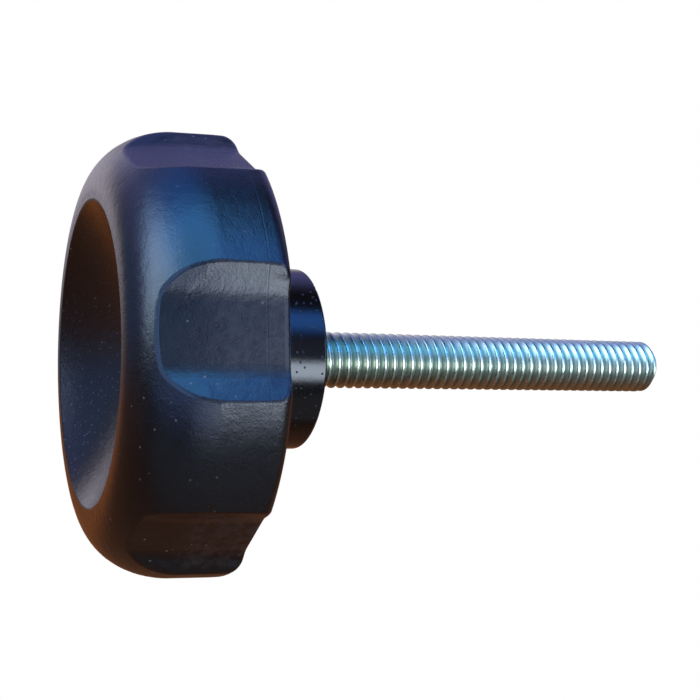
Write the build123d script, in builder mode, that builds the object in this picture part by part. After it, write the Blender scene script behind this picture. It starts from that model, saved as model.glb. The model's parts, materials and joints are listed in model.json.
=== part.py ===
"""Six-lobe clamping knob with a moulded-in threaded stud.

Millimetres. The knob stands on the ring round its dished head, on z = 0,
with the stud pointing up along +Z. X = Y = 0 is the axis.
"""

import os
from math import hypot, radians, tan

from build123d import *

os.makedirs("parts", exist_ok=True)

# Stud: 5/16-18 UNC, drawn as a plain rod at its major diameter. The thread is rolled,
# so the shank under it has the pitch diameter
STUD_D = 7.94
STUD_PITCH = 1.411
SHANK_D = STUD_D - 0.65 * STUD_PITCH
THREAD_START_Z = 29.3
STUD_TIP_Z = 88.8
STUD_TIP_CHAMFER = 1.0

# Hexagon head of the stud, buried in the hub
ANCHOR_ACROSS_FLATS = 12.7
ANCHOR_THICK = 5.3
ANCHOR_BOTTOM_Z = 12.4

# Grip, turned, with a slight draft up to the parting line
HEAD_R = 29.35
PARTING_R = 29.5
PARTING_Z = 15.2
REAR_Z = 18.2
REAR_EDGE_R = 1.8

# Shoulder: a quarter ellipse from the resting ring up to the grip
LIP_OUTER_R = 21.1
SHOULDER_Z = 10.5

# Dish in the head, part of a sphere
DISH_R = 20.0
DISH_DEPTH = 7.0
DISH_EDGE_R = 0.5

# Hub
HUB_R = 12.5
HUB_FACE_Z = 28.8
HUB_EDGE_R = 0.4
STUD_RELIEF = 1.1

# Finger flutes: a floor with two sloping walls, running out on the shoulder
FLUTE_COUNT = 6
FLUTE_FIRST_AZ = 30.0
FLUTE_FLOOR_HALF = 4.4
FLUTE_WALL_SLOPE = 16.5
FLUTE_WALL_RISE = 5.0
FLUTE_FLOOR_R = 27.1
FLUTE_CREASE_Z = 8.0
FLUTE_FRONT = (26.0, -1.0)
FLUTE_REAR = (27.5, REAR_Z + 1.0)
FLUTE_FLOOR_FILLET = 6.0
FLUTE_EDGE_R = 0.9

# Cored underside with a rib under each lobe
CORE_OUTER_R = 20.1
CORE_FLOOR_Z = 9.8
CORE_FILLET = 1.2
RIB_THICK = 2.4
RIB_TOP_Z = 17.0


def outer_radius(z):
    """Radius of the turned grip at height z."""
    if z < SHOULDER_Z:
        u = 1 - z / SHOULDER_Z
        return LIP_OUTER_R + (HEAD_R - LIP_OUTER_R) * (1 - u**2) ** 0.5
    if z < PARTING_Z:
        u = (z - SHOULDER_Z) / (PARTING_Z - SHOULDER_Z)
        return HEAD_R + (PARTING_R - HEAD_R) * u
    u = max(z - REAR_Z + REAR_EDGE_R, 0)
    return PARTING_R - REAR_EDGE_R + max(REAR_EDGE_R**2 - u**2, 0) ** 0.5


def dish_height(r):
    """Height of the dish surface at radius r."""
    ball = (DISH_R**2 + DISH_DEPTH**2) / (2 * DISH_DEPTH)
    return DISH_DEPTH - ball + (ball**2 - r**2) ** 0.5


def turned_body():
    """Head, shoulder, grip and hub as one turned shape."""
    with BuildPart() as body:
        with BuildSketch(Plane.XZ):
            with BuildLine():
                ThreePointArc(
                    (0, DISH_DEPTH),
                    (DISH_R / 2, dish_height(DISH_R / 2)),
                    (DISH_R, 0),
                )
                Line((DISH_R, 0), (LIP_OUTER_R, 0))
                EllipticalCenterArc(
                    (LIP_OUTER_R, SHOULDER_Z),
                    HEAD_R - LIP_OUTER_R,
                    SHOULDER_Z,
                    start_angle=270,
                    arc_size=90,
                )
                Polyline(
                    (HEAD_R, SHOULDER_Z),
                    (PARTING_R, PARTING_Z),
                    (PARTING_R, REAR_Z - REAR_EDGE_R),
                )
                RadiusArc(
                    (PARTING_R, REAR_Z - REAR_EDGE_R),
                    (PARTING_R - REAR_EDGE_R, REAR_Z),
                    -REAR_EDGE_R,
                )
                Polyline(
                    (PARTING_R - REAR_EDGE_R, REAR_Z),
                    (HUB_R, REAR_Z),
                    (HUB_R, HUB_FACE_Z),
                    (0, HUB_FACE_Z),
                    (0, DISH_DEPTH),
                )
            make_face()
        revolve(axis=Axis.Z)
    return body.part


def flute_tool():
    """The shape that cuts one flute, on the +X side."""
    run = FLUTE_WALL_RISE / tan(radians(FLUTE_WALL_SLOPE))
    with BuildPart() as tool:
        with BuildSketch(Plane.XY.offset(FLUTE_CREASE_Z)) as section:
            with BuildLine():
                Polyline(
                    (FLUTE_FLOOR_R, -FLUTE_FLOOR_HALF),
                    (FLUTE_FLOOR_R, FLUTE_FLOOR_HALF),
                    (FLUTE_FLOOR_R + FLUTE_WALL_RISE, FLUTE_FLOOR_HALF + run),
                    (FLUTE_FLOOR_R + FLUTE_WALL_RISE, -FLUTE_FLOOR_HALF - run),
                    close=True,
                )
            make_face()
            fillet(section.vertices().sort_by(Axis.X)[:2], FLUTE_FLOOR_FILLET)
        for end_r, end_z in (FLUTE_REAR, FLUTE_FRONT):
            way = Vector(end_r - FLUTE_FLOOR_R, 0, end_z - FLUTE_CREASE_Z)
            extrude(section.sketch, amount=way.length, dir=way.normalized())
    return tool.part


def on_flute_rim(edge):
    """True for an edge where a flute meets the turned surface."""
    points = [edge @ t for t in (0, 0.25, 0.5, 0.75, 1)]
    heights = [p.Z for p in points]
    level = max(heights) - min(heights) < 0.001
    seam = edge.geom_type in (GeomType.CIRCLE, GeomType.ELLIPSE) and max(
        abs(p.Y) for p in points
    ) < 0.001
    on_surface = all(abs(hypot(p.X, p.Y) - outer_radius(p.Z)) < 0.002 for p in points)
    return on_surface and min(heights) > 0.3 and not level and not seam


# Knob body with its hub
with BuildPart() as knob_body:
    add(turned_body())

    # Finger flutes and their rounded edges
    with PolarLocations(0, FLUTE_COUNT, start_angle=FLUTE_FIRST_AZ):
        add(flute_tool(), mode=Mode.SUBTRACT)
    fillet(knob_body.edges().filter_by(on_flute_rim), FLUTE_EDGE_R)

    # Cored underside between the hub and the grip
    with BuildSketch(Plane.XY.offset(CORE_FLOOR_Z)):
        Circle(CORE_OUTER_R)
        Circle(HUB_R, mode=Mode.SUBTRACT)
    extrude(amount=REAR_Z - CORE_FLOOR_Z, mode=Mode.SUBTRACT)
    core_floor = knob_body.edges().filter_by(
        lambda e: e.geom_type == GeomType.CIRCLE
        and abs(e.center().Z - CORE_FLOOR_Z) < 0.001
        and e.radius < CORE_OUTER_R + 0.001
    )
    fillet(core_floor, CORE_FILLET)

    # Ribs under the lobes
    with BuildSketch(Plane.XY.offset(CORE_FLOOR_Z)):
        with PolarLocations(0, FLUTE_COUNT):
            with Locations(((HUB_R + CORE_OUTER_R) / 2, 0)):
                Rectangle(CORE_OUTER_R - HUB_R + 1, RIB_THICK)
    extrude(amount=RIB_TOP_Z - CORE_FLOOR_Z)

    # Rounded edges of the dish and the hub
    dish_edge = knob_body.edges().filter_by(
        lambda e: e.geom_type == GeomType.CIRCLE
        and abs(e.radius - DISH_R) < 0.001
        and abs(e.center().Z) < 0.001
    )
    fillet(dish_edge, DISH_EDGE_R)
    hub_edge = knob_body.edges().filter_by(
        lambda e: e.geom_type == GeomType.CIRCLE and abs(e.center().Z - HUB_FACE_Z) < 0.001
    )
    fillet(hub_edge, HUB_EDGE_R)

# Stud, with the head that anchors it
with BuildPart() as threaded_stud:
    with BuildSketch(Plane.XY.offset(ANCHOR_BOTTOM_Z)):
        RegularPolygon(ANCHOR_ACROSS_FLATS / 2, side_count=6, major_radius=False)
    extrude(amount=ANCHOR_THICK)
    with BuildSketch(Plane.XY.offset(ANCHOR_BOTTOM_Z)):
        Circle(SHANK_D / 2)
    extrude(amount=THREAD_START_Z - ANCHOR_BOTTOM_Z)
    with BuildSketch(Plane.XY.offset(THREAD_START_Z)):
        Circle(STUD_D / 2)
    extrude(amount=STUD_TIP_Z - THREAD_START_Z)
    chamfer(threaded_stud.edges().sort_by(Axis.Z)[-1], STUD_TIP_CHAMFER)

# The plastic is moulded round the stud, with a chamfer where the stud comes out
with knob_body:
    add(threaded_stud.part, mode=Mode.SUBTRACT)
    stud_mouth = knob_body.edges().filter_by(
        lambda e: e.geom_type == GeomType.CIRCLE
        and abs(e.radius - SHANK_D / 2) < 0.001
        and abs(e.center().Z - HUB_FACE_Z) < 0.001
    )
    chamfer(stud_mouth, STUD_RELIEF)

knob_body.part.label = "knob_body"
threaded_stud.part.label = "threaded_stud"

export_step(knob_body.part, "parts/knob_body.step")
export_step(threaded_stud.part, "parts/threaded_stud.step")
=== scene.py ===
"""Visual model of the fluted clamping knob: its finishes, its cut thread, camera and light.

Metres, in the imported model's frame. The knob stands on the ring round its dished head,
the stud points up along +Z, and X = Y = 0 is the axis.
"""

import json
import math

import bpy
from mathutils import Matrix, Vector


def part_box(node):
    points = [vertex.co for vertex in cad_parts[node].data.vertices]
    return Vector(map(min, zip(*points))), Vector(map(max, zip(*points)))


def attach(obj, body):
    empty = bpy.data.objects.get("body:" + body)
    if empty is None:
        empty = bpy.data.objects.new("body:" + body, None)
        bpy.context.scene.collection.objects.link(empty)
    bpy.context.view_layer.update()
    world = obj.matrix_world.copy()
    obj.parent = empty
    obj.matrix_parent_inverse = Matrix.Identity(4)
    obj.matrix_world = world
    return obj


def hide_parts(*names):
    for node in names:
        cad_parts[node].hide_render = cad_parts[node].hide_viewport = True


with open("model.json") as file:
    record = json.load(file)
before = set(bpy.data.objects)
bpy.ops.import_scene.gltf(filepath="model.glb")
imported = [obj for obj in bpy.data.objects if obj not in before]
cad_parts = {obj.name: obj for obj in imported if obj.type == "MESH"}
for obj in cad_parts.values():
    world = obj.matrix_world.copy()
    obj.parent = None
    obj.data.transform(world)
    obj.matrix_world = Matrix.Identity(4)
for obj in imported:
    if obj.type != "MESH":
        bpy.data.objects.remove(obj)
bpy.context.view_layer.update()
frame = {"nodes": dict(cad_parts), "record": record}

MM = 0.001

# ---------------------------------------------------------------- sizes, from the frame

stud_mount = next(m for m in frame["record"]["mounts"] if m["name"] == "stud")
stud_low, stud_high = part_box("threaded_stud")

THREAD_R = stud_mount["dims"]["r_mm"] * MM
THREAD_LENGTH = stud_mount["dims"]["length_mm"] * MM
TIP_Z = stud_high.z
TIP_CHAMFER = 1.0 * MM
THREAD_START_Z = TIP_Z - TIP_CHAMFER - THREAD_LENGTH

# 5/16-18 UNC, a little shallower than its full depth, on a shank at the pitch diameter.
# One crest is at CREST_Z on the side of the stud that the photograph shows
PITCH = 25.4 / 18 * MM
THREAD_DEPTH = 0.56 * PITCH
SHANK_R = THREAD_R - 0.325 * PITCH
CREST_Z = 32.70 * MM
CREST_AZIMUTH = -86.0

# By how much the stud's parts overlap, so that none only touch, and how finely its mesh is
# cut and cleaned
BLANK_ALLOWANCE = 0.3 * MM
SHANK_OVERLAP = 0.3 * MM
TUBE_OVERHANG = 0.2 * MM
MERGE = 0.001 * MM
SLIVER = 0.003 * MM
CUT_EXACTLY = 0.0001 * MM
SMOOTH_ANGLE = math.radians(28)

# Hexagon head that anchors the stud in the moulding
ANCHOR_ACROSS_FLATS = stud_high.y - stud_low.y
ANCHOR_BOTTOM_Z = stud_low.z
ANCHOR_THICK = 5.3 * MM

# Where the body's finish changes, in millimetres
PARTING_MM = 15.2
REAR_FACE_MM = 18.2
HUB_R_MM = 12.5
GRIP_R_MM = 29.4
SHOULDER_MM = 10.5
SHOULDER_CURVE = 0.075
FLUTE_INNER_MM = 23.0
DISH_R_MM = 20.0
DISH_TOP_MM = 8.0

# Where a flute's floor turns in towards the head, and how softly
CREASE_MM = 8.0
CREASE_WIDTH_MM = 3.5
CREASE_ROUND_MM = 0.0215 * CREASE_WIDTH_MM

# How far a flute's floor leans back, from the parting line to the rear face
BACK_DRAFT_RUN_MM = REAR_FACE_MM - PARTING_MM
BACK_DRAFT_MM = 0.15


# ---------------------------------------------------------------- modelling helpers


def only(obj):
    """Selects obj alone and makes it the active one."""
    bpy.ops.object.select_all(action="DESELECT")
    obj.select_set(True)
    bpy.context.view_layer.objects.active = obj


def place_in_mesh(obj):
    """Puts obj's place and turn into its mesh."""
    only(obj)
    bpy.ops.object.transform_apply(location=True, rotation=True, scale=True)


def select_faces(obj, wanted):
    """In edit mode, selects the faces for which wanted(face) is true."""
    only(obj)
    bpy.ops.object.mode_set(mode="EDIT")
    bpy.ops.mesh.select_mode(type="FACE")
    bpy.ops.mesh.select_all(action="DESELECT")
    bpy.ops.object.mode_set(mode="OBJECT")
    for face in obj.data.polygons:
        face.select = wanted(face)
    bpy.ops.object.mode_set(mode="EDIT")


def draw_line(name, points):
    """A line through the points, drawn by extruding one vertex from each to the next."""
    bpy.ops.object.select_all(action="DESELECT")
    # The first vertex is a small plane whose corners are merged
    bpy.ops.mesh.primitive_plane_add(size=0.1 * MM, location=points[0])
    line = bpy.context.object
    line.name = name
    bpy.ops.object.mode_set(mode="EDIT")
    bpy.ops.mesh.select_mode(type="VERT")
    bpy.ops.mesh.select_all(action="SELECT")
    bpy.ops.mesh.merge(type="CENTER")
    for here, there in zip(points, points[1:]):
        bpy.ops.mesh.extrude_vertices_move(TRANSFORM_OT_translate={"value": there - here})
    bpy.ops.object.mode_set(mode="OBJECT")
    place_in_mesh(line)
    return line


def round_bar(name, radius, low, high, sides=96):
    """A closed bar on the Z axis, ready to be shaped further."""
    bpy.ops.object.select_all(action="DESELECT")
    bpy.ops.mesh.primitive_cylinder_add(
        vertices=sides, radius=radius, depth=high - low, location=(0, 0, (low + high) / 2)
    )
    bar = bpy.context.object
    bar.name = name
    place_in_mesh(bar)
    return bar


def combine(obj, tool, operation):
    """Applies a Boolean of obj with tool and throws the tool away."""
    only(obj)
    cut = obj.modifiers.new(operation.lower(), "BOOLEAN")
    cut.operation = operation
    cut.solver = "EXACT"
    cut.object = tool
    bpy.ops.object.modifier_apply(modifier=cut.name)
    bpy.data.objects.remove(tool)


def tidy_mesh(obj):
    """Closes up the slivers that a Boolean leaves."""
    only(obj)
    bpy.ops.object.mode_set(mode="EDIT")
    bpy.ops.mesh.select_mode(type="VERT")
    bpy.ops.mesh.select_all(action="SELECT")
    bpy.ops.mesh.remove_doubles(threshold=SLIVER)
    bpy.ops.mesh.dissolve_degenerate(threshold=SLIVER)
    bpy.ops.mesh.select_all(action="SELECT")
    bpy.ops.mesh.normals_make_consistent(inside=False)
    bpy.ops.object.mode_set(mode="OBJECT")


# ---------------------------------------------------------------- the cut thread

# One pitch of the thread, from root to root: (share of the pitch, share of the depth).
# The root is rounded, and the crest is a flat with soft shoulders
THREAD_PROFILE = (
    (0.00, 0.00),
    (0.05, 0.02),
    (0.10, 0.10),
    (0.36, 0.90),
    (0.39, 0.97),
    (0.42, 1.00),
    (0.58, 1.00),
    (0.61, 0.97),
    (0.64, 0.90),
    (0.90, 0.10),
    (0.95, 0.02),
    (1.00, 0.00),
)
THREAD_STEPS = 48


def thread_tube():
    """The helical surface, as one profile screwed up the axis and closed at both ends."""
    # The profile is drawn on the +X side, so the crest there is later than on the near side
    crest_z = CREST_Z + PITCH * (0 - CREST_AZIMUTH) / 360
    turns_below = math.ceil((crest_z - THREAD_START_Z) / PITCH) + 1
    first_root_z = crest_z - (turns_below + 0.5) * PITCH
    profile = [
        Vector((THREAD_R - THREAD_DEPTH * (1 - height), 0, first_root_z + PITCH * along))
        for along, height in THREAD_PROFILE
    ]
    thread = draw_line("threaded_stud_cut", profile)
    screw = thread.modifiers.new("screw", "SCREW")
    screw.axis = "Z"
    screw.angle = 2 * math.pi
    screw.screw_offset = PITCH
    screw.iterations = math.ceil((TIP_Z - first_root_z) / PITCH) + 2
    screw.steps = screw.render_steps = THREAD_STEPS
    only(thread)
    bpy.ops.object.modifier_apply(modifier=screw.name)
    bpy.ops.object.mode_set(mode="EDIT")
    bpy.ops.mesh.select_all(action="SELECT")
    bpy.ops.mesh.remove_doubles(threshold=MERGE)
    for height, way in ((THREAD_START_Z, -1), (TIP_Z + TUBE_OVERHANG, 1)):
        bpy.ops.mesh.select_all(action="SELECT")
        bpy.ops.mesh.bisect(
            plane_co=(0, 0, height),
            plane_no=(0, 0, way),
            use_fill=True,
            clear_outer=True,
            threshold=CUT_EXACTLY,
        )
    bpy.ops.mesh.select_all(action="SELECT")
    bpy.ops.mesh.normals_make_consistent(inside=False)
    bpy.ops.object.mode_set(mode="OBJECT")
    return thread


def chamfered_blank():
    """A bar with a chamfered tip, a little wider than the thread, so that only the tip is cut."""
    blank_r = THREAD_R + BLANK_ALLOWANCE
    chamfer = TIP_CHAMFER + BLANK_ALLOWANCE
    blank = round_bar("blank", blank_r, THREAD_START_Z - MM, TIP_Z - chamfer)
    select_faces(blank, lambda face: face.normal.z > 0.9)
    bpy.ops.mesh.extrude_region_move(TRANSFORM_OT_translate={"value": (0, 0, chamfer)})
    tip = (blank_r - chamfer) / blank_r
    bpy.ops.transform.resize(value=(tip, tip, 1), center_override=(0, 0, TIP_Z))
    bpy.ops.object.mode_set(mode="OBJECT")
    return blank


def anchor_head():
    """The hexagon head, with its flats across Y as in the moulding."""
    corner_r = ANCHOR_ACROSS_FLATS / 2 / math.cos(math.pi / 6)
    head = round_bar("head", corner_r, ANCHOR_BOTTOM_Z, ANCHOR_BOTTOM_Z + ANCHOR_THICK, sides=6)
    head.rotation_euler.z = math.radians(30)
    place_in_mesh(head)
    return head


def make_stud():
    """Thread, shank and head as one closed piece."""
    stud = thread_tube()
    combine(stud, chamfered_blank(), "INTERSECT")
    shank_low = ANCHOR_BOTTOM_Z + ANCHOR_THICK / 2
    shank_high = THREAD_START_Z + SHANK_OVERLAP
    combine(stud, round_bar("shank", SHANK_R, shank_low, shank_high), "UNION")
    combine(stud, anchor_head(), "UNION")
    tidy_mesh(stud)
    bpy.ops.object.shade_smooth_by_angle(angle=SMOOTH_ANGLE)
    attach(stud, "root")
    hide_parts("threaded_stud")
    return stud


# ---------------------------------------------------------------- material helpers


class Signal:
    """One value or vector in a material. Python's operators on it add Math nodes."""

    def __init__(self, bench, socket):
        self.bench = bench
        self.socket = socket

    def math(self, operation, *others):
        return self.bench.node("ShaderNodeMath", {"operation": operation}, (self, *others))

    def __add__(self, other):
        return self.math("ADD", other)

    __radd__ = __add__

    def __sub__(self, other):
        return self.math("SUBTRACT", other)

    def __rsub__(self, other):
        return self.bench.node("ShaderNodeMath", {"operation": "SUBTRACT"}, (other, self))

    def __mul__(self, other):
        return self.math("MULTIPLY", other)

    __rmul__ = __mul__

    def __truediv__(self, other):
        return self.math("DIVIDE", other)

    def __pow__(self, other):
        return self.math("POWER", other)

    def __abs__(self):
        return self.math("ABSOLUTE")

    def or_more(self, other):
        """The larger of the two."""
        return self.math("MAXIMUM", other)

    def rise(self, start, end):
        """0 below start, 1 above end and smooth between them; start may be the larger."""
        low, high = min(start, end), max(start, end)
        ends = (0.0, 1.0) if start < end else (1.0, 0.0)
        settings = {"interpolation_type": "SMOOTHSTEP"}
        return self.bench.node("ShaderNodeMapRange", settings, (self, low, high, *ends))


class Bench:
    """Makes the nodes of one material or world."""

    def __init__(self, tree):
        self.tree = tree
        self.tree.nodes.clear()

    def node(self, kind, settings=None, inputs=(), output=0):
        """Adds a node, sets it up, feeds its sockets and returns one of its outputs.

        inputs is a tuple in socket order, or a dict by socket name or number.
        """
        made = self.tree.nodes.new(kind)
        for name, value in (settings or {}).items():
            setattr(made, name, value)
        pairs = inputs.items() if isinstance(inputs, dict) else enumerate(inputs)
        for name, value in pairs:
            if isinstance(value, Signal):
                self.tree.links.new(value.socket, made.inputs[name])
            elif value is not None:
                made.inputs[name].default_value = value
        return Signal(self, made.outputs[output]) if made.outputs else made

    def vector(self, operation, *values, output=0):
        """A Vector Math node."""
        return self.node("ShaderNodeVectorMath", {"operation": operation}, values, output)

    def place(self):
        """The place on the piece, in millimetres."""
        spot = self.node("ShaderNodeTexCoord", output="Object")
        return self.node(
            "ShaderNodeVectorMath", {"operation": "SCALE"}, {0: spot, "Scale": 1 / MM}
        )

    def split(self, vector):
        """The three parts of a vector."""
        x = self.node("ShaderNodeSeparateXYZ", inputs=(vector,))
        return [Signal(self, out) for out in x.socket.node.outputs]

    def noise(self, place, size, detail=2.0, roughness=0.5):
        """Soft noise, from about 0 to 1, with features of that size in millimetres."""
        values = {
            "Vector": place,
            "Scale": 1 / size,
            "Detail": detail,
            "Roughness": roughness,
        }
        return self.node("ShaderNodeTexNoise", inputs=values)

    def specks(self, place, spacing, radius):
        """Small round specks: 1 in the middle of each, 0 outside it."""
        values = {"Vector": place, "Scale": 1 / spacing, "Randomness": 1.0}
        distance = self.node("ShaderNodeTexVoronoi", inputs=values)
        return distance.rise(radius / spacing, 0.4 * radius / spacing)

    def mix(self, share, first, second):
        """A colour between two, each a colour or a signal."""
        settings = {"data_type": "RGBA", "blend_type": "MIX"}
        inputs = {
            0: share,
            6: first if isinstance(first, Signal) else (*first, 1.0),
            7: second if isinstance(second, Signal) else (*second, 1.0),
        }
        return self.node("ShaderNodeMix", settings, inputs, output=2)

    def bump(self, height, depth, onto=None):
        """A bump of that depth in millimetres for a height from 0 to 1."""
        inputs = {"Height": height, "Distance": depth * MM, "Normal": onto}
        return self.node("ShaderNodeBump", inputs=inputs)

    def finish(self, **sockets):
        """The Principled shader on the material's output."""
        names = {name.replace("_", " "): value for name, value in sockets.items()}
        shader = self.node("ShaderNodeBsdfPrincipled", inputs=names)
        self.node("ShaderNodeOutputMaterial", inputs={"Surface": shader})


def new_material(name):
    """A material and the bench for its nodes."""
    material = bpy.data.materials.new(name)
    material.use_nodes = True
    return material, Bench(material.node_tree)


# ---------------------------------------------------------------- finishes

# Colours of the plastic and of what lies on it
BLACK = (0.0045, 0.0045, 0.0052)
WORN_BLACK = (0.0070, 0.0070, 0.0080)
# Grey on the flute floors behind their crease: dust, and painted sheen
FLUTE_DUST_AND_SHEEN = (0.022, 0.023, 0.026)
DUST = (0.40, 0.43, 0.50)

# Size of the plastic's clouds, waves and grain, in millimetres
CLOUD_MM = 9.0
SWELL_MM = 1.3
GRAIN_MM = 0.34
FINE_GRAIN_MM = 0.17
FINE_SHARE = 0.3
HUB_GRAIN_MM = 0.6
HUB_GRAIN_SHARE = 0.12

# Spacing and radius of its specks, in millimetres
PITS_MM = (0.9, 0.18)
DUST_MM = (1.9, 0.19)
DISH_DUST_MM = (0.75, 0.16)

# Depth of its bumps, in millimetres, and where the parting line fades in
SWELL_DEPTH_MM = 0.045
GRAIN_DEPTH_MM = 0.026
PIT_DEPTH_MM = 0.07
PARTING_DEPTH_MM = 0.014
PARTING_EDGE_MM = (0.13, 0.04)

HUB_ROUGHNESS = 0.14
PLASTIC_IOR = 1.5


def black_plastic():
    """Spark-eroded moulded plastic, satin on the grip and glossier on the hub."""
    material, bench = new_material("black_moulded_plastic")
    place = bench.place()
    x, y, z = bench.split(place)
    reach = (x * x + y * y) ** 0.5
    on_hub = z.rise(REAR_FACE_MM, REAR_FACE_MM + 0.4) * reach.rise(HUB_R_MM + 0.8, HUB_R_MM + 0.2)

    in_dish = reach.rise(DISH_R_MM + 0.6, DISH_R_MM - 0.2) * z.rise(DISH_TOP_MM + 1, DISH_TOP_MM)
    # Depth below the round of the grip, which is only more than nothing in the flutes
    round_r = GRIP_R_MM - SHOULDER_CURVE * (SHOULDER_MM - z).or_more(0.0) ** 2
    in_flute = (round_r - reach).rise(0.3, 0.9) * reach.rise(FLUTE_INNER_MM, FLUTE_INNER_MM + 1)
    in_flute = in_flute * z.rise(REAR_FACE_MM - 0.1, REAR_FACE_MM - 0.7)

    cloud = bench.noise(place, CLOUD_MM, detail=3.0)
    swell = bench.noise(place, SWELL_MM, detail=3.0, roughness=0.6)
    grain = bench.noise(place, GRAIN_MM, detail=2.0, roughness=0.6)
    fine = bench.noise(place, FINE_GRAIN_MM, detail=1.0)
    pits = bench.specks(place, *PITS_MM)
    hub_grain = bench.noise(place, HUB_GRAIN_MM, detail=3.0, roughness=0.6)

    # Dust is thin on the grip, none on the hub and thick in the dish, where its specks grow
    # stronger towards +X as painted light on that side
    dust = bench.specks(place, *DUST_MM) * cloud.rise(0.35, 0.60) * 0.4 * (1 - on_hub)
    dish_dust_and_light = bench.specks(place, *DISH_DUST_MM) * swell.rise(0.35, 0.55) * in_dish
    dish_dust_and_light = dish_dust_and_light * (0.10 + 0.45 * x.rise(-12.0, 12.0))

    # Painted sheen, with some dust: a grey film on the flute floors from their crease to the rear
    # face, which leaves their front ends darker
    flute_dust_and_sheen = swell.rise(0.35, 0.70) * in_flute * z.rise(CREASE_MM - 0.5, CREASE_MM + 3)
    colour = bench.mix(cloud.rise(0.50, 0.72), BLACK, WORN_BLACK)
    colour = bench.mix(flute_dust_and_sheen, colour, FLUTE_DUST_AND_SHEEN)
    colour = bench.mix(dust.or_more(dish_dust_and_light), colour, DUST)

    roughness = 0.21 + 0.05 * cloud + 0.10 * swell
    roughness = roughness * (1 - on_hub) + HUB_ROUGHNESS * on_hub

    crease = (1 - abs(z - CREASE_MM) / CREASE_WIDTH_MM).or_more(0.0)
    surface = bench.bump(1 - crease * crease * in_flute, CREASE_ROUND_MM)
    back_draft = (z - PARTING_MM).or_more(0.0) * in_flute
    surface = bench.bump(1 - back_draft * (1 / BACK_DRAFT_RUN_MM), BACK_DRAFT_MM, surface)
    surface = bench.bump(swell * (1 - on_hub), SWELL_DEPTH_MM, surface)
    grip_grain = grain * (1 - FINE_SHARE) + fine * FINE_SHARE
    surface = bench.bump(grip_grain * (1 - on_hub), GRAIN_DEPTH_MM, surface)
    surface = bench.bump((hub_grain * HUB_GRAIN_SHARE - pits) * on_hub, PIT_DEPTH_MM, surface)
    parting = abs(z - PARTING_MM).rise(*PARTING_EDGE_MM)
    parting = parting * reach.rise(FLUTE_INNER_MM + 1, FLUTE_INNER_MM + 2)
    surface = bench.bump(1 - parting, PARTING_DEPTH_MM, surface)
    bench.finish(Base_Color=colour, Roughness=roughness, Normal=surface, IOR=PLASTIC_IOR)
    return material


# Colours of the zinc, with a root colour that is painted shade, and how far below the crests it is
# at its darkest and dullest and at its brightest
ZINC = (0.46, 0.54, 0.41)
PALE_ZINC = (0.56, 0.59, 0.44)
SHADED_ROOT_ZINC = (0.30, 0.33, 0.25)
ROOT_DEPTH_MM = 0.6
CREST_DEPTH_MM = 0.1

# Its clouds, grain and nicks, in millimetres
ZINC_CLOUD_MM = 3.0
ZINC_GRAIN_MM = 0.25
ZINC_GRAIN_DEPTH_MM = 0.008
NICKS_MM = (1.9, 0.14)
NICK_DEPTH_MM = 0.04


def zinc_plate():
    """Bright zinc plating, darker in the roots with painted shade and a little grime, and rougher
    there, with small nicks on the crests.
    """
    material, bench = new_material("bright_zinc_plate")
    place = bench.place()
    x, y, _ = bench.split(place)
    crest_r = THREAD_R / MM
    on_crest = ((x * x + y * y) ** 0.5).rise(crest_r - ROOT_DEPTH_MM, crest_r - CREST_DEPTH_MM)

    cloud = bench.noise(place, ZINC_CLOUD_MM, detail=2.0)
    grain = bench.noise(place, ZINC_GRAIN_MM, detail=2.0, roughness=0.6)
    nicks = bench.specks(place, *NICKS_MM) * on_crest

    bright = bench.mix(cloud.rise(0.35, 0.65), ZINC, PALE_ZINC)
    # Painted shade, with a little grime: the colour darkens from the crests into the roots
    colour = bench.mix(on_crest, SHADED_ROOT_ZINC, bright)
    roughness = 0.20 + 0.16 * grain + 0.14 * (1 - on_crest)
    surface = bench.bump(grain, ZINC_GRAIN_DEPTH_MM)
    surface = bench.bump(1 - nicks, NICK_DEPTH_MM, surface)
    bench.finish(Base_Color=colour, Metallic=1.0, Roughness=roughness, Normal=surface)
    return material


# ---------------------------------------------------------------- camera

# Directions round the knob's axis: towards the photographer, and the picture's upper side
NEAR_AZIMUTH = math.radians(-86.0)
UPPER_AZIMUTH = NEAR_AZIMUTH - math.pi / 2
ALONG = Vector((0, 0, 1))
NEAR = Vector((math.cos(NEAR_AZIMUTH), math.sin(NEAR_AZIMUTH), 0))
UPPER = Vector((math.cos(UPPER_AZIMUTH), math.sin(UPPER_AZIMUTH), 0))

CAMERA_TURN = math.radians(23.58)
CAMERA_ROLL = math.radians(0.40)
CAMERA_DISTANCE = 168.9 * MM
CAMERA_DROP = 5.64 * MM
AIM_Z = 37.36 * MM
PICTURE_PX = 700
FOCAL_PX = 1183.9
CENTRE_DROP_PX = 50
SENSOR = 36.0
CLIP_START = 5 * MM


def set_up_camera():
    """The photograph's camera, which looks at the knob from beside its head."""
    forward = math.sin(CAMERA_TURN) * ALONG - math.cos(CAMERA_TURN) * NEAR
    level = math.cos(CAMERA_TURN) * ALONG + math.sin(CAMERA_TURN) * NEAR
    right = math.cos(CAMERA_ROLL) * level + math.sin(CAMERA_ROLL) * UPPER
    up = math.cos(CAMERA_ROLL) * UPPER - math.sin(CAMERA_ROLL) * level
    data = bpy.data.cameras.new("camera")
    data.sensor_width = SENSOR
    data.lens = SENSOR * FOCAL_PX / PICTURE_PX
    data.shift_y = CENTRE_DROP_PX / PICTURE_PX
    data.clip_start = CLIP_START
    camera = bpy.data.objects.new("camera", data)
    bpy.context.scene.collection.objects.link(camera)
    spot = AIM_Z * ALONG - CAMERA_DROP * up - CAMERA_DISTANCE * forward
    turn = Matrix((right, up, -forward)).transposed().to_4x4()
    camera.matrix_world = Matrix.Translation(spot) @ turn
    bpy.context.scene.camera = camera


# ---------------------------------------------------------------- studio

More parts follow.
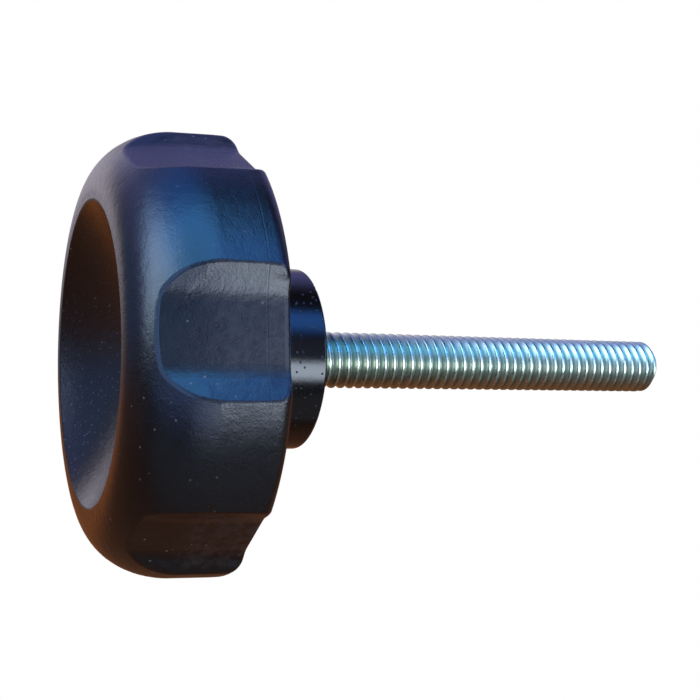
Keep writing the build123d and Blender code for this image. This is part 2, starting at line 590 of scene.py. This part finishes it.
LAMP_AIM_Z = 35 * MM
WORLD_GREY = (0.32, 0.33, 0.35, 1.0)
WHITE = (1.0, 1.0, 1.0, 1.0)

# The floor, in metres, and how far from the knob it starts to fade and is gone
FLOOR_SIZE = 3.0
FLOOR_FADES_FROM = 0.12
FLOOR_GONE_AT = 0.75
FLOOR_COLOUR = (0.90, 0.90, 0.89, 1.0)


def toward(round_axis, lift):
    """A direction: degrees round the axis from the near side to the upper, and towards the tip."""
    turn, lift = math.radians(round_axis), math.radians(lift)
    flat = math.cos(turn) * NEAR + math.sin(turn) * UPPER
    return math.cos(lift) * flat + math.sin(lift) * ALONG


def lamp(name, direction, distance, width, level):
    """A plain white soft lamp facing the knob. level is its brightness, where 1 is white."""
    data = bpy.data.lights.new(name, "AREA")
    data.shape = "SQUARE"
    data.size = width
    data.energy = level * math.pi * width * width
    made = bpy.data.objects.new(name, data)
    bpy.context.scene.collection.objects.link(made)
    made.matrix_world = Matrix.Translation(direction * distance + LAMP_AIM_Z * ALONG)
    made.rotation_euler = direction.to_track_quat("Z", "Y").to_euler()
    made.visible_camera = False
    made.visible_glossy = False


def set_up_lamps():
    """White lamps for what isn't glossy: the floor, its shadow and the plastic's own colour."""
    lamp("key", toward(60, 50), distance=0.6, width=0.4, level=3.0)
    lamp("fill", toward(-50, 30), distance=0.7, width=0.5, level=1.0)


def set_up_world():
    """White behind the knob; a soft grey where the world only adds light."""
    world = bpy.data.worlds.new("studio")
    bpy.context.scene.world = world
    world.use_nodes = True
    bench = Bench(world.node_tree)
    rays = bench.node("ShaderNodeLightPath").socket.node.outputs
    seen = [Signal(bench, rays[f"Is {kind} Ray"]) for kind in ("Camera", "Glossy", "Transmission")]
    shown = seen[0].or_more(seen[1]).or_more(seen[2])
    soft = bench.node("ShaderNodeBackground", inputs=(WORLD_GREY, 1.0))
    white = bench.node("ShaderNodeBackground", inputs=(WHITE, 1.0))
    both = bench.node("ShaderNodeMixShader", inputs=(shown, soft, white))
    bench.node("ShaderNodeOutputWorld", inputs={"Surface": both})


def one_sided_floor():
    """A pale floor that shows from above, and lets the photograph's low camera see past it."""
    bpy.ops.object.select_all(action="DESELECT")
    bpy.ops.mesh.primitive_plane_add(size=FLOOR_SIZE)
    floor = bpy.context.object
    floor.name = "floor"
    material, bench = new_material("pale_floor")
    from_camera = bench.node("ShaderNodeLightPath", output="Is Camera Ray")
    from_below = bench.node("ShaderNodeNewGeometry", output="Backfacing")
    spot = bench.node("ShaderNodeTexCoord", output="Object")
    nearby = bench.vector("LENGTH", spot, output="Value").rise(FLOOR_GONE_AT, FLOOR_FADES_FROM)
    pale = bench.node(
        "ShaderNodeBsdfPrincipled", inputs={"Base Color": FLOOR_COLOUR, "Roughness": 0.9}
    )
    clear = bench.node("ShaderNodeBsdfTransparent")
    shown = from_camera * (1 - from_below) * nearby
    shader = bench.node("ShaderNodeMixShader", inputs=(shown, clear, pale))
    bench.node("ShaderNodeOutputMaterial", inputs={"Surface": shader})
    floor.data.materials.append(material)


# What stood round the knob, as its gloss shows it: from and to in degrees round the axis,
# counted from the near side to the picture's upper side; from and to in degrees towards the
# tip; the soft edge in degrees; and the brightness of red, green and blue, where 1 is white
GLOWS = {
    "ground": ((-210, -89), (-90, 90), 14, (0.18, 0.065, 0.02)),
    "warm_ground": ((-200, -162), (-22, 25), 8, (0.25, 0.06, 0.0)),
    "near_ground": ((-84, -46), (-56, 80), 8, (0.18, 0.19, 0.23)),
    "window": ((-27, -6), (12, 53), 6, (6.8, 7.9, 9.4)),
    "soft_window": ((-40, -10), (-13, 16), 7, (1.1, 1.4, 2.0)),
    "low_window": ((-32, -14), (-87, 6), 7, (0.40, 0.65, 1.6)),
    "front": ((-8, 28), (12, 17), 4, (1.9, 2.5, 4.6)),
    "high_front": ((-8, 25), (28, 55), 4, (1.6, 2.0, 3.0)),
    "front_mid": ((3, 32), (-25, -11), 5, (0.60, 1.25, 3.4)),
    "sky": ((34, 59), (2, 70), 10, (0.24, 1.1, 4.0)),
    "low_sky": ((28, 76), (-43, 13), 7, (0.54, 2.2, 4.7)),
    "upper_sky": ((56, 102), (-63, 6), 15, (0.08, 0.60, 2.5)),
    "front_sky": ((-13, 14), (-62, -13), 6, (0.80, 1.5, 3.3)),
    "pale_sky": ((29, 97), (-83, -37), 15, (3.7, 5.1, 6.8)),
    "high": ((101, 142), (-90, 70), 16, (0.28, 0.30, 0.85)),
    "behind": ((148, 175), (-28, 40), 11, (0.62, 0.56, 0.60)),
    "shoulder": ((126, 171), (-26, -2), 7, (0.55, 0.52, 0.68)),
    "far": ((144, 183), (-90, -38), 9, (0.12, 0.24, 0.52)),
}
TENT_GREY = (0.030, 0.022, 0.024)
TENT_R = 1.6
DEGREES = 180 / math.pi


def tent():
    """Cloth round the set with soft glows on it. It shows only in the gloss."""
    bpy.ops.object.select_all(action="DESELECT")
    bpy.ops.mesh.primitive_uv_sphere_add(segments=32, ring_count=16, radius=TENT_R)
    cloth = bpy.context.object
    cloth.name = "tent"
    material, bench = new_material("tent_cloth")
    spot = bench.vector("NORMALIZE", bench.node("ShaderNodeTexCoord", output="Object"))
    to_upper = bench.vector("DOT_PRODUCT", spot, UPPER, output="Value")
    to_near = bench.vector("DOT_PRODUCT", spot, NEAR, output="Value")
    round_axis = to_upper.math("ARCTAN2", to_near) * DEGREES
    lift = bench.split(spot)[2].math("ARCSINE") * DEGREES
    light = TENT_GREY
    for (first, last), (low, high), soft, colour in GLOWS.values():
        around = round_axis.rise(first - soft, first + soft)
        around = around * round_axis.rise(last + soft, last - soft)
        along = lift.rise(low - soft, low + soft) * lift.rise(high + soft, high - soft)
        glow = bench.node(
            "ShaderNodeVectorMath", {"operation": "SCALE"}, {0: colour, "Scale": around * along}
        )
        light = bench.vector("ADD", glow, light)
    shine = bench.node("ShaderNodeEmission", inputs=(light, 1.0))
    bench.node("ShaderNodeOutputMaterial", inputs={"Surface": shine})
    cloth.data.materials.append(material)
    cloth.visible_camera = False
    cloth.visible_diffuse = False
    cloth.visible_transmission = False
    cloth.visible_shadow = False


# ---------------------------------------------------------------- the set

bpy.context.scene.view_settings.view_transform = "Standard"

plastic = black_plastic()
for slot in frame["nodes"]["knob_body"].material_slots:
    slot.material = plastic

stud = make_stud()
stud.data.materials.clear()
stud.data.materials.append(zinc_plate())

set_up_camera()
set_up_world()
set_up_lamps()
one_sided_floor()
tent()
